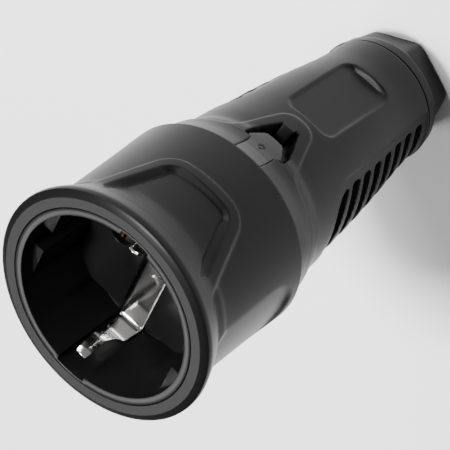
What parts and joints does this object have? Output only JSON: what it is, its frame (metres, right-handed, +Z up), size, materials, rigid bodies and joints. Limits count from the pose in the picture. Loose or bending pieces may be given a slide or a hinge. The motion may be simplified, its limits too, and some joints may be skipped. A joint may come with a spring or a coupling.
{
  "type": "rubber socket coupler",
  "caption": "Rubber extension coupler with a round earthed socket well, snap latch window, ribbed tapered grip and hexagonal cable gland nut.",
  "frame": {"origin": "middle of the footprint, on the surface that the coupler stands on", "axes": "+Z up out of the mouth, +X through the latch side, +Y across the flanks"},
  "size_m": [0.05, 0.05, 0.0998],
  "materials": {
    "shell_rubber": "matte moulded rubber",
    "insert_plastic": "glossy moulded thermoset",
    "carrier_plastic": "plain moulded polyamide",
    "latch_plastic": "fine-grained polyamide",
    "gland_plastic": "satin moulded polyamide",
    "seal_rubber": "soft sealing rubber",
    "nickel_plate": "bright nickel-plated strip",
    "contact_brass": "bare turned brass",
    "zinc_steel": "zinc-plated steel"
  },
  "bodies": {
    "housing": {"front_shell": "shell_rubber", "rear_shell": "shell_rubber", "socket_insert": "insert_plastic", "contact_carrier": "carrier_plastic", "earth_bracket": "nickel_plate", "earth_rivet": "nickel_plate", "line_contact": "contact_brass", "neutral_contact": "contact_brass", "earth_terminal": "contact_brass", "line_sleeve_spring": "zinc_steel", "neutral_sleeve_spring": "zinc_steel", "terminal_screws": "zinc_steel", "clamp_plates": "zinc_steel", "carrier_screws": "zinc_steel", "insert_gasket": "seal_rubber", "cable_seal": "seal_rubber", "clamp_collet": "gland_plastic"},
    "latch": {"latch_tongue": "latch_plastic"},
    "thrust": {"thrust_ring": "gland_plastic"},
    "nut": {"gland_nut": "gland_plastic"}
  },
  "joints": [
    {"name": "latch_press", "type": "hinge", "parent": "housing", "child": "latch", "pos_m": [0.01945, 0, 0.072], "axis": [0, 1, 0], "range_deg": [0, 10], "stiffness_Nm_per_rad": 0.3},
    {"name": "thrust_slide", "type": "slide", "parent": "housing", "child": "thrust", "axis": [0, 0, -1], "range_m": [0, 0.0045]},
    {"name": "nut_turn", "type": "hinge", "parent": "thrust", "child": "nut", "pos_m": [0, 0, 0.0048], "axis": [0, 0, -1], "range_deg": [0, 1080]}
  ],
  "couplings": [
    {"joint": "thrust_slide", "follows": "nut_turn", "m_per_rad": 0.00023873}
  ]
}
